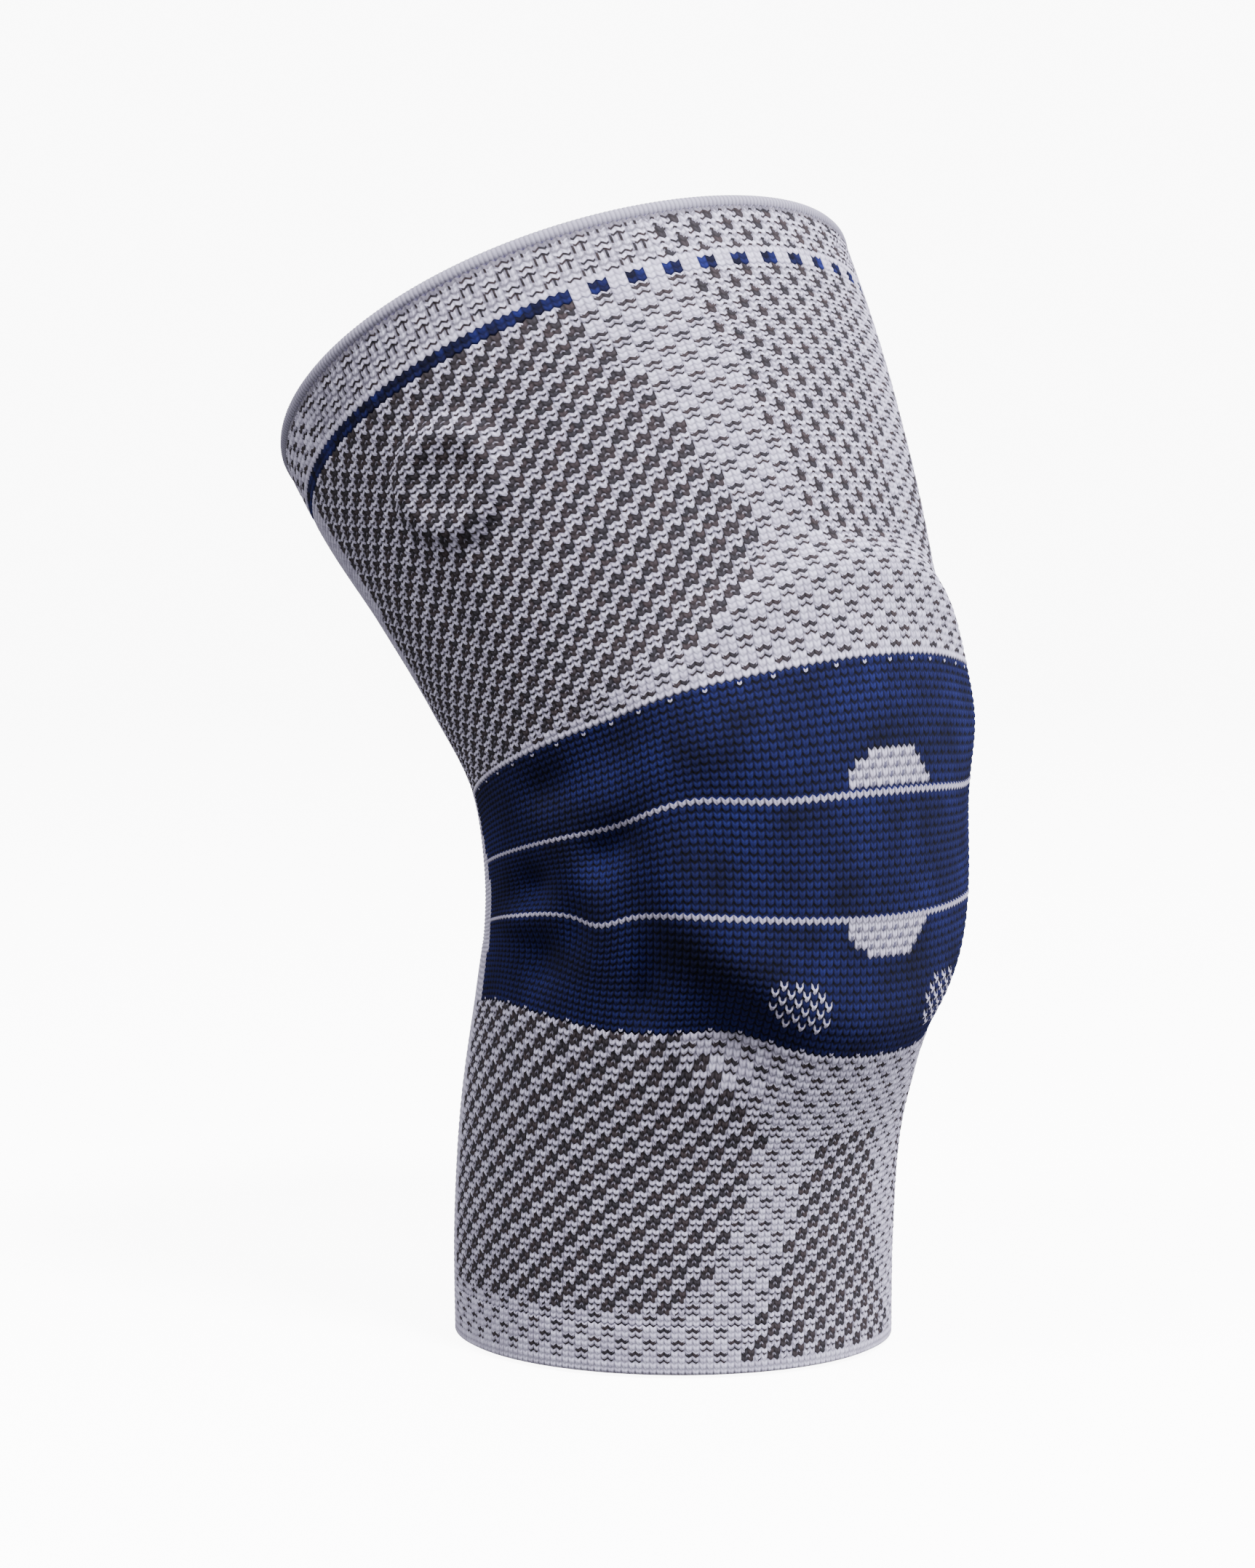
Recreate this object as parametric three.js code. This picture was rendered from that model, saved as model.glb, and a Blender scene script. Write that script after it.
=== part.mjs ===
// Knee sleeve: a seamless knitted tube, shaped as it is worn on a slightly bent knee.
// Millimetres and degrees, +Z up. The origin is the middle of the knee, the kneecap faces -Y.
import * as THREE from "three";

// Lengths along the leg, from the middle of the knee.
const CALF_LENGTH = 119.5;
const CALF_SETBACK = 17;
const THIGH_RISE = 129.5;
const THIGH_SETBACK = 57;
const RIM_LEAN = 31.5;

// Outside diameters of the knit where the leg is measured.
const CALF_DIAMETER = 111;
const KNEE_DIAMETER = 120;
const THIGH_DIAMETER = 158;

// The knit and its edges.
const WALL = 2.2;
const GAP = 0.3;
const WELT_HEIGHT = 3.6;
const WELT_THICKNESS = 3.2;

// The ring pad inside the knit, round the kneecap. Its rims are shares of how far the kneecap lifts the knit.
const PAD_THICKNESS = 4.5;
const PAD_EDGE = 1.2;
const PAD_CLEARANCE = 0.6;
const PAD_INNER_RIM = 0.5;
const PAD_OUTER_RIM = 0.86;
const KNEECAP_RISE = 5.8;
const KNEECAP_SPAN = 62;

// The round pad inside the thigh's knit, on one side.
const KNOB_RADIUS = 11;
const KNOB_THICKNESS = 4;
const KNOB_RISE = 3.6;

// The deepest fold, and the furthest that a course is drawn up or down.
const FOLD_DEPTH = 3.4;
const COURSE_SHIFT = 4.5;

// Knitted rows, called courses, counted up the front from the lower edge.
const HEM_COURSES = 8;
const CALF_COURSES = 45;
const BAND_COURSES = 45;
const THIGH_COURSES = 68;
const CUFF_COURSES = 12;
const BAND_BOTTOM = HEM_COURSES + CALF_COURSES;
const BAND_TOP = BAND_BOTTOM + BAND_COURSES;
const CUFF_LINE = BAND_TOP + THIGH_COURSES;
const COURSES = CUFF_LINE + CUFF_COURSES;

// Faces round the tube, and courses between its rings.
const COLUMNS = 60;
const RING_STEP = 5.7;
const TURN = 360;
const COLUMN_TURN = TURN / COLUMNS;

// Courses as shares of the calf, the band and the thigh.
const calf = (share) => share * BAND_BOTTOM;
const band = (share) => BAND_BOTTOM + share * BAND_COURSES;
const thigh = (share) => BAND_TOP + share * (COURSES - BAND_TOP);

function table(columns, ...rows) {
  return rows.map((row) => Object.fromEntries(columns.map((column, i) => [column, row[i]])));
}

// Sections of the tube. rise is a share of CALF_LENGTH below the knee and of THIGH_RISE above it, and back
// a share of the setback on that side. lean is a share of RIM_LEAN, and the rest are shares of size.
const SECTIONS = table(
  ["course", "rise", "back", "lean", "size", "side", "front", "rear", "dip"],
  [calf(0), -1, 1, 0, CALF_DIAMETER, 0.495, 0.505, 0.509, 0],
  [calf(0.34), -0.77, 0.97, -0.03, CALF_DIAMETER, 0.495, 0.505, 0.518, 0.003],
  [calf(0.68), -0.527, 0.82, -0.12, CALF_DIAMETER, 0.495, 0.505, 0.518, 0.007],
  [band(0), -0.276, 0.53, -0.22, KNEE_DIAMETER, 0.467, 0.488, 0.458, 0.008],
  [band(0.367), -0.084, 0.24, 0.185, KNEE_DIAMETER, 0.483, 0.492, 0.463, 0.028],
  [band(0.678), 0.074, 0.07, 0.43, KNEE_DIAMETER, 0.5, 0.508, 0.454, 0.009],
  [band(1), 0.242, 0.12, 0.69, KNEE_DIAMETER, 0.521, 0.533, 0.455, 0.003],
  [thigh(0.275), 0.449, 0.3, 0.86, THIGH_DIAMETER, 0.424, 0.44, 0.38, 0],
  [thigh(0.55), 0.648, 0.55, 0.95, THIGH_DIAMETER, 0.456, 0.472, 0.41, 0],
  [thigh(0.85), 0.862, 0.84, 0.985, THIGH_DIAMETER, 0.487, 0.494, 0.452, 0.006],
  [thigh(1), 1, 1, 1, THIGH_DIAMETER, 0.5, 0.49, 0.475, 0.01],
);

// Pads and folds that move the knit. turn and span are degrees round from the kneecap, reach is a share of
// the band's courses, out and up are shares of the size in by. Folds are on both sides of the leg.
const ONE = [1];
const BOTH = [1, -1];
const KNOB_SPREAD = 1.25 * KNOB_RADIUS;
const KNOB_SPAN = (KNOB_SPREAD * TURN) / (Math.PI * THIGH_DIAMETER);
const KNOB_REACH = (KNOB_SPREAD * (COURSES - BAND_TOP)) / (THIGH_RISE * BAND_COURSES);
const RELIEFS = table(
  ["name", "turn", "span", "course", "reach", "power", "by", "out", "up", "sides"],
  ["kneecap", 0, KNEECAP_SPAN, band(0.556), 0.69, 4, KNEECAP_RISE, 1, 0, ONE],
  ["knob", 79, KNOB_SPAN, thigh(0.625), KNOB_REACH, 3, KNOB_RISE, 1, 0, ONE],
  ["hollow in the kneecap's ring", 0, 40, band(0.556), 0.45, 4, KNEECAP_RISE, -0.25, 0, ONE],
  ["ridge over the kneecap", 0, 36, band(1.26), 0.07, 2, FOLD_DEPTH, 0.4, 0, ONE],
  ["lip beside the kneecap", 44, 14, band(0.85), 0.16, 2, FOLD_DEPTH, 0.7, 0, BOTH],
  ["crease beside the knob", 94, 7, thigh(0.41), 0.26, 2, FOLD_DEPTH, -0.4, 0, ONE],
  ["arch under the kneecap", 40, 16, band(0), 0.18, 2, COURSE_SHIFT, 0, 1, BOTH],
  ["arch beside the kneecap", 50, 13, band(0.667), 0.2, 2, COURSE_SHIFT, 0, 0.65, BOTH],
  ["sag behind the kneecap", 74, 8, band(0.333), 0.18, 2, COURSE_SHIFT, 0, -0.65, BOTH],
  ["droop behind the knee", 127, 14, band(0), 0.18, 2, COURSE_SHIFT, 0, -0.9, BOTH],
  ["groove beside the kneecap", 63, 6, band(0.578), 0.22, 2, FOLD_DEPTH, -0.5, 0, BOTH],
  ["crease at the kneecap's foot", 61, 5, band(0.133), 0.13, 2, FOLD_DEPTH, -0.6, 0, BOTH],
  ["upper side fold", 73, 6, band(0.6), 0.09, 2, FOLD_DEPTH, -0.8, 0, BOTH],
  ["middle rear fold", 96, 8, band(0.489), 0.11, 2, FOLD_DEPTH, -1, 0, BOTH],
  ["lower rear fold", 92, 8, band(0.2), 0.11, 2, FOLD_DEPTH, -1, 0, BOTH],
  ["ridge between rear folds", 100, 12, band(0.356), 0.08, 2, FOLD_DEPTH, 0.5, 0, BOTH],
  ["hollow under the upper edge", 66, 14, band(0.911), 0.13, 2, FOLD_DEPTH, -0.6, 0, BOTH],
  ["notch under the kneecap", 38, 8, band(-0.022), 0.09, 2, FOLD_DEPTH, -0.6, 0, BOTH],
);
const [KNEECAP, KNOB] = RELIEFS;

// Where the navy band ends beside the mesh panel, in degrees round from the kneecap.
const BAND_ENDS = table(["course", "turn"], [band(0), 121], [band(0.511), 119], [band(1), 127]);

const LIGHT_GREY = 0xc4c1cd;
const HEATHER_GREY = 0x8b8893;
const NAVY = 0x262c63;
const PAD_BLUE = 0x5a6a9c;

const radians = THREE.MathUtils.degToRad;

// A smooth curve through one column of a table, by course.
function along(rows, course, read) {
  const last = rows.length - 2;
  let k = 0;
  while (k < last && course > rows[k + 1].course) k += 1;
  const step = (i) => rows[i + 1].course - rows[i].course;
  const grade = (i) => (read(rows[i + 1]) - read(rows[i])) / step(i);
  const slope = (i) => {
    if (i === 0) return grade(0);
    if (i > last) return grade(last);
    return (grade(i - 1) * step(i) + grade(i) * step(i - 1)) / (step(i - 1) + step(i));
  };
  const t = (course - rows[k].course) / step(k);
  const t2 = t * t;
  const t3 = t2 * t;
  return (
    (2 * t3 - 3 * t2 + 1) * read(rows[k]) +
    (t3 - 2 * t2 + t) * step(k) * slope(k) +
    (3 * t2 - 2 * t3) * read(rows[k + 1]) +
    (t3 - t2) * step(k) * slope(k + 1)
  );
}

// How far a relief reaches at a place on the tube, from 0 to 1.
function reliefShare(relief, course, turn) {
  let share = 0;
  for (const side of relief.sides) {
    const round = THREE.MathUtils.euclideanModulo(side * turn - relief.turn + TURN / 2, TURN) - TURN / 2;
    const rows = (course - relief.course) / (relief.reach * BAND_COURSES);
    const far = Math.hypot(round / relief.span, rows);
    share += Math.exp(-(far ** relief.power));
  }
  return share;
}

// A point of the outer face, by its course and its turn in degrees from the kneecap towards -X.
function outerPoint(course, turn) {
  const read = (column) => along(SECTIONS, course, column);
  const lean = radians(read((s) => s.lean * RIM_LEAN));
  const rise = read((s) => s.rise * (s.rise < 0 ? CALF_LENGTH : THIGH_RISE));
  const back = read((s) => s.back * (s.rise < 0 ? CALF_SETBACK : THIGH_SETBACK));
  const cos = Math.cos(radians(turn));
  const sin = Math.sin(radians(turn));
  const side = read((s) => s.side * s.size);
  const depth = read((s) => (cos > 0 ? s.front : s.rear) * s.size) * cos;
  const dip = read((s) => s.dip * s.size) * Math.cos(2 * radians(turn));
  const forward = new THREE.Vector3(0, -Math.cos(lean), Math.sin(lean));
  const upward = new THREE.Vector3(0, Math.sin(lean), Math.cos(lean));
  const outward = new THREE.Vector3(-sin, 0, 0).addScaledVector(forward, cos);
  const point = new THREE.Vector3(-side * sin, back, rise - dip).addScaledVector(forward, depth);
  for (const relief of RELIEFS) {
    const share = reliefShare(relief, course, turn) * relief.by;
    point.addScaledVector(outward, share * relief.out);
    point.addScaledVector(upward, share * relief.up);
  }
  return point;
}

// Steps along the courses and round the tube at a place, and the way out of the knit there.
function frameAt(course, turn) {
  const h = 0.25;
  const low = Math.max(course - h, 0);
  const high = Math.min(course + h, COURSES);
  const perCourse = outerPoint(high, turn).sub(outerPoint(low, turn)).divideScalar(high - low);
  const perDegree = outerPoint(course, turn + h).sub(outerPoint(course, turn - h)).divideScalar(2 * h);
  const out = new THREE.Vector3().crossVectors(perCourse, perDegree).normalize();
  return { perCourse, perDegree, out };
}

// A point under the outer face, at a depth inwards.
function pointAt(course, turn, depth) {
  return outerPoint(course, turn).addScaledVector(frameAt(course, turn).out, -depth);
}

// The course that lies a length above a border at this turn.
function courseAbove(border, turn, length) {
  return border + length / frameAt(border, turn).perCourse.length();
}

// A closed mesh over a grid of points, whose rows are loops that may join end to start.
function closedMesh(name, loops, ringed, material) {
  const count = loops[0].length;
  const positions = loops.flat().flatMap((p) => [p.x, p.y, p.z]);
  const index = [];
  const at = (row, column) => row * count + (column % count);
  const rows = ringed ? loops.length : loops.length - 1;
  for (let row = 0; row < rows; row += 1) {
    const next = (row + 1) % loops.length;
    for (let column = 0; column < count; column += 1) {
      index.push(at(row, column), at(row, column + 1), at(next, column + 1));
      index.push(at(row, column), at(next, column + 1), at(next, column));
    }
  }
  if (!ringed) {
    for (let column = 1; column < count - 1; column += 1) {
      index.push(at(0, 0), at(0, column + 1), at(0, column));
      const end = loops.length - 1;
      index.push(at(end, 0), at(end, column), at(end, column + 1));
    }
  }
  const geometry = new THREE.BufferGeometry();
  geometry.setAttribute("position", new THREE.Float32BufferAttribute(positions, 3));
  geometry.setIndex(index);
  geometry.computeVertexNormals();
  const mesh = new THREE.Mesh(geometry, material);
  mesh.name = name;
  return mesh;
}

function cloth(color, roughness = 0.9) {
  return new THREE.MeshStandardMaterial({ color, roughness, metalness: 0 });
}

// The loop round a wall's thickness at one turn: up the outer face and down the inner one.
function wallLoop(bottom, top, turn, rings) {
  const loop = [];
  for (let i = 0; i <= rings; i += 1) {
    loop.push(pointAt(bottom + ((top - bottom) * i) / rings, turn, 0));
  }
  for (let i = rings; i >= 0; i -= 1) {
    loop.push(pointAt(bottom + ((top - bottom) * i) / rings, turn, WALL));
  }
  return loop;
}

// The courses where a piece starts and stops at a turn, clear of its neighbours by half a gap each.
function trimmed(bottom, top, turn) {
  return {
    bottom: bottom > 0 ? courseAbove(bottom, turn, GAP / 2) : bottom,
    top: courseAbove(top, turn, -GAP / 2),
  };
}

function ringCount(bottom, top) {
  return Math.max(2, Math.round((top - bottom) / RING_STEP));
}

// A whole ring of the tube between two courses.
function ring(name, bottom, top, material) {
  const loops = [];
  for (let column = 0; column < COLUMNS; column += 1) {
    const turn = column * COLUMN_TURN;
    const ends = trimmed(bottom, top, turn);
    loops.push(wallLoop(ends.bottom, ends.top, turn, ringCount(bottom, top)));
  }
  return closedMesh(name, loops, true, material);
}

// The band's end at a course, moved along the course by a length.
function bandEnd(course, side, length) {
  const turn = side * along(BAND_ENDS, course, (end) => end.turn);
  return turn + length / frameAt(course, turn).perDegree.length();
}

// A piece of the tube between the two ends of the navy band, in front of them or behind them.
function panel(name, first, last, columns, material) {
  const rings = ringCount(BAND_BOTTOM, BAND_TOP);
  const loops = [];
  for (let column = 0; column <= columns; column += 1) {
    const loop = [];
    const inner = [];
    for (let i = 0; i <= rings; i += 1) {
      const border = BAND_BOTTOM + ((BAND_TOP - BAND_BOTTOM) * i) / rings;
      const turn = THREE.MathUtils.lerp(first(border), last(border), column / columns);
      const ends = trimmed(BAND_BOTTOM, BAND_TOP, turn);
      const course = THREE.MathUtils.lerp(ends.bottom, ends.top, i / rings);
      loop.push(pointAt(course, turn, 0));
      inner.unshift(pointAt(course, turn, WALL));
    }
    loops.push([...loop, ...inner]);
  }
  return closedMesh(name, loops, false, material);
}

// The rolled rim at the thigh end: a bead a little thicker than the knit under it.
function rolledRim(name, material) {
  const sides = 8;
  const loops = [];
  for (let column = 0; column < COLUMNS; column += 1) {
    const turn = column * COLUMN_TURN;
    const loop = [];
    for (let i = 0; i < sides; i += 1) {
      const angle = (i + 0.5) * ((2 * Math.PI) / sides);
      const below = WELT_HEIGHT / 2 + (WELT_HEIGHT / 2) * Math.cos(angle);
      const depth = WALL / 2 - (WELT_THICKNESS / 2) * Math.sin(angle);
      const { perCourse, out } = frameAt(COURSES, turn);
      const point = outerPoint(COURSES, turn).addScaledVector(out, -depth);
      loop.push(point.addScaledVector(perCourse.normalize(), -below));
    }
    loops.push(loop);
  }
  return closedMesh(name, loops, true, material);
}

// The ring pad inside the knit, round the kneecap.
function kneecapPad(name, material) {
  const around = 28;
  const across = (share) => THREE.MathUtils.lerp(PAD_INNER_RIM, PAD_OUTER_RIM, share);
  const profile = [
    { share: across(0), thickness: PAD_EDGE },
    { share: across(0.25), thickness: PAD_THICKNESS },
    { share: across(0.75), thickness: PAD_THICKNESS },
    { share: across(1), thickness: PAD_EDGE },
  ];
  const loops = [];
  for (let k = 0; k < around; k += 1) {
    const angle = (k * 2 * Math.PI) / around;
    const place = (share, depth) =>
      pointAt(
        KNEECAP.course + KNEECAP.reach * BAND_COURSES * share * Math.sin(angle),
        KNEECAP.turn + KNEECAP.span * share * Math.cos(angle),
        depth,
      );
    const near = WALL + PAD_CLEARANCE;
    const face = profile.map((row) => place(row.share, near));
    const back = profile.map((row) => place(row.share, near + row.thickness)).reverse();
    loops.push([...face, ...back].reverse());
  }
  return closedMesh(name, loops, true, material);
}

// The round pad inside the thigh's knit, a low dome with a flat face against the knit.
function sideKnob(name, material) {
  const { perCourse, perDegree } = frameAt(KNOB.course, KNOB.turn);
  const around = 20;
  const near = WALL + PAD_CLEARANCE;
  const rings = [
    { share: 0.55, depth: near },
    { share: 1, depth: near },
    { share: 1, depth: near + PAD_EDGE },
    { share: 0.55, depth: near + KNOB_THICKNESS },
  ];
  const loops = rings.map((row) => {
    const loop = [];
    for (let k = 0; k < around; k += 1) {
      const angle = (k * 2 * Math.PI) / around;
      const course = KNOB.course + (row.share * KNOB_RADIUS * Math.sin(angle)) / perCourse.length();
      const turn = KNOB.turn + (row.share * KNOB_RADIUS * Math.cos(angle)) / perDegree.length();
      loop.push(pointAt(course, turn, row.depth));
    }
    return loop;
  });
  return closedMesh(name, loops, false, material);
}

const sleeve = new THREE.Group();
const grey = () => cloth(HEATHER_GREY);
const light = () => cloth(LIGHT_GREY);
const cuffTop = COURSES - WELT_HEIGHT / frameAt(COURSES, 0).perCourse.length();

sleeve.add(rolledRim("top_welt", light()));
sleeve.add(ring("thigh_cuff", CUFF_LINE, cuffTop, light()));
sleeve.add(ring("thigh_knit", BAND_TOP, CUFF_LINE, grey()));

const frontStart = (course) => bandEnd(course, -1, GAP / 2);
const frontStop = (course) => bandEnd(course, 1, -GAP / 2);
const rearStart = (course) => bandEnd(course, 1, GAP / 2);
const rearStop = (course) => bandEnd(course, -1, -GAP / 2) + TURN;
sleeve.add(panel("kneecap_band", frontStart, frontStop, Math.round((COLUMNS * 2) / 3), cloth(NAVY)));
sleeve.add(panel("back_panel", rearStart, rearStop, Math.round(COLUMNS / 3), light()));

sleeve.add(ring("calf_knit", HEM_COURSES, BAND_BOTTOM, grey()));
sleeve.add(ring("hem", 0, HEM_COURSES, light()));
sleeve.add(kneecapPad("kneecap_pad", cloth(PAD_BLUE, 0.6)));
sleeve.add(sideKnob("side_pad", cloth(PAD_BLUE, 0.6)));

export default sleeve;
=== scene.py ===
# %% [markdown]
# # A knitted knee sleeve
#
# This file dresses the model of a knee sleeve: a seamless tube of elastic knit, shaped as it is worn on a
# slightly bent knee. The tube's form comes from the fixed model. Here each of its pieces is made again in
# real stitches, so the pattern, the stripes and the light between the loops come from geometry and yarn
# colours, with shade painted into the colours where the yarn lies deep. We start by loading the fixed
# model and keeping its box, which nothing may outgrow.

import math

import bpy
import numpy as np
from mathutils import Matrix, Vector


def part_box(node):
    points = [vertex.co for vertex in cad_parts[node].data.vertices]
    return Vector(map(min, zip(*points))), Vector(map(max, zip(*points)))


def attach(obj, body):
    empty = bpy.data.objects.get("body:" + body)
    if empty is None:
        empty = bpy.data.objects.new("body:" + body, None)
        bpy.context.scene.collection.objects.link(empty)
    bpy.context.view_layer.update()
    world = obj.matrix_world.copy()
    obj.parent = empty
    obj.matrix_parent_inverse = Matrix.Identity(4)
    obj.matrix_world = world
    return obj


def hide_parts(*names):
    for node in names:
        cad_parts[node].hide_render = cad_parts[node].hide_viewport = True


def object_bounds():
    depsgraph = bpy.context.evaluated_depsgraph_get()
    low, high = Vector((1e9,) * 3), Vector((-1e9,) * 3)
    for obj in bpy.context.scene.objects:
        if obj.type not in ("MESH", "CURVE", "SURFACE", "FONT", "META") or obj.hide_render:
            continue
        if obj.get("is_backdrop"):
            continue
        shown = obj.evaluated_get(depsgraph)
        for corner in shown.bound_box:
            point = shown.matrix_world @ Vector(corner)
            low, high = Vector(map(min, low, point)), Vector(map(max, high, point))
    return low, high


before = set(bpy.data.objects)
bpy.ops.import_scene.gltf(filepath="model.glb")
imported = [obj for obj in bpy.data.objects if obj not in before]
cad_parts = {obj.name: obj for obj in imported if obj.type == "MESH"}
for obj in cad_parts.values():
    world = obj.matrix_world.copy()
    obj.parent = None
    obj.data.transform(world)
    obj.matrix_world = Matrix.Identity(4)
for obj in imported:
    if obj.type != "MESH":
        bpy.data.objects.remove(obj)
cad_box = [list(corner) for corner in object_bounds()]
print("pieces of the fixed model:", ", ".join(sorted(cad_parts)))

# %% [markdown]
# ## The camera
#
# The photograph was taken from a little above the knee, halfway between the front and the side. Its view
# was worked out by laying the model's outline over the sleeve's. We give the camera a long lens a good
# metre away, because the sleeve shows hardly any perspective.

# %% Place the camera
PHOTO_HEIGHT = 2156
FOCAL_PIXELS = 6028
SENSOR = 36
VIEW_AZIMUTH = -45
VIEW_ELEVATION = 5
VIEW_DISTANCE = 1.1
VIEW_TARGET = Vector((-0.0168, 0.0168, 0.0217))


def sphere_point(azimuth, elevation, distance):
    """A place round the origin: azimuth 0 is in front of the kneecap, and 90 is on the wearer's left."""
    turn = math.radians(azimuth)
    rise = math.radians(elevation)
    flat = math.cos(rise)
    return Vector((math.sin(turn) * flat, -math.cos(turn) * flat, math.sin(rise))) * distance


def add_object(name, data):
    """A new object in the scene, with this data."""
    made = bpy.data.objects.new(name, data)
    bpy.context.scene.collection.objects.link(made)
    return made


camera_data = bpy.data.cameras.new("camera")
camera_data.sensor_fit = "VERTICAL"
camera_data.sensor_height = SENSOR
camera_data.lens = SENSOR * FOCAL_PIXELS / PHOTO_HEIGHT
camera = add_object("camera", camera_data)
camera.location = VIEW_TARGET + sphere_point(VIEW_AZIMUTH, VIEW_ELEVATION, VIEW_DISTANCE)
camera.rotation_euler = (VIEW_TARGET - camera.location).to_track_quat("-Z", "Y").to_euler()
bpy.context.scene.camera = camera
print("camera at", [round(x, 3) for x in camera.location], "with a lens of", round(camera_data.lens, 1), "mm")

# %% [markdown]
# ## The sleeve's measures
#
# A knitter counts in courses, the rows up the leg, and wales, the columns of stitches round it. We do the
# same: every place on the sleeve is a course and a turn in degrees from the kneecap, positive towards the
# wearer's right. These are the fixed model's own sizes, here in metres, so that the stitches lie where its
# solids are.

# %% Sizes along the leg
MM = 0.001
CALF_LENGTH = 119.5 * MM
CALF_SETBACK = 17 * MM
THIGH_RISE = 129.5 * MM
THIGH_SETBACK = 57 * MM
RIM_LEAN = 31.5
CALF_DIAMETER = 111 * MM
KNEE_DIAMETER = 120 * MM
THIGH_DIAMETER = 158 * MM
WALL = 2.2 * MM
WELT_HEIGHT = 3.6 * MM
WELT_THICKNESS = 3.2 * MM

HEM_COURSES = 8
CALF_COURSES = 45
BAND_COURSES = 45
THIGH_COURSES = 68
CUFF_COURSES = 12
BAND_BOTTOM = HEM_COURSES + CALF_COURSES
BAND_TOP = BAND_BOTTOM + BAND_COURSES
CUFF_LINE = BAND_TOP + THIGH_COURSES
COURSES = CUFF_LINE + CUFF_COURSES
TURN = 360
print(COURSES, "courses, of which the navy band has", BAND_COURSES)


# %% Places as shares of the calf, the band and the thigh
def calf(share):
    return share * BAND_BOTTOM


def band(share):
    return BAND_BOTTOM + share * BAND_COURSES


def thigh(share):
    return BAND_TOP + share * (COURSES - BAND_TOP)


def table(columns, *rows):
    """A short table with named columns, each a numpy array."""
    return {column: np.array(values) for column, values in zip(columns, zip(*rows))}


# %% Cross-sections of the tube
SECTIONS = table(
    ["course", "rise", "back", "lean", "size", "side", "front", "rear", "dip"],
    [calf(0), -1, 1, 0, CALF_DIAMETER, 0.495, 0.505, 0.509, 0],
    [calf(0.34), -0.77, 0.97, -0.03, CALF_DIAMETER, 0.495, 0.505, 0.518, 0.003],
    [calf(0.68), -0.527, 0.82, -0.12, CALF_DIAMETER, 0.495, 0.505, 0.518, 0.007],
    [band(0), -0.276, 0.53, -0.22, KNEE_DIAMETER, 0.467, 0.488, 0.458, 0.008],
    [band(0.367), -0.084, 0.24, 0.185, KNEE_DIAMETER, 0.483, 0.492, 0.463, 0.028],
    [band(0.678), 0.074, 0.07, 0.43, KNEE_DIAMETER, 0.5, 0.508, 0.454, 0.009],
    [band(1), 0.242, 0.12, 0.69, KNEE_DIAMETER, 0.521, 0.533, 0.455, 0.003],
    [thigh(0.275), 0.449, 0.3, 0.86, THIGH_DIAMETER, 0.424, 0.44, 0.38, 0],
    [thigh(0.55), 0.648, 0.55, 0.95, THIGH_DIAMETER, 0.456, 0.472, 0.41, 0],
    [thigh(0.85), 0.862, 0.84, 0.985, THIGH_DIAMETER, 0.487, 0.494, 0.452, 0.006],
    [thigh(1), 1, 1, 1, THIGH_DIAMETER, 0.5, 0.49, 0.475, 0.01],
)

# %% [markdown]
# ## Pads and folds
#
# A ring pad round the kneecap and a round pad on the thigh lift the knit, and behind the bent knee it
# folds. Each is one smooth bump or dent with a place, a spread and a height, which is how you would push
# cloth about by hand. A ring is a bump less a slightly smaller one. Folds that draw the courses up or down
# make the band's lines wave as they do on a leg.

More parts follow.
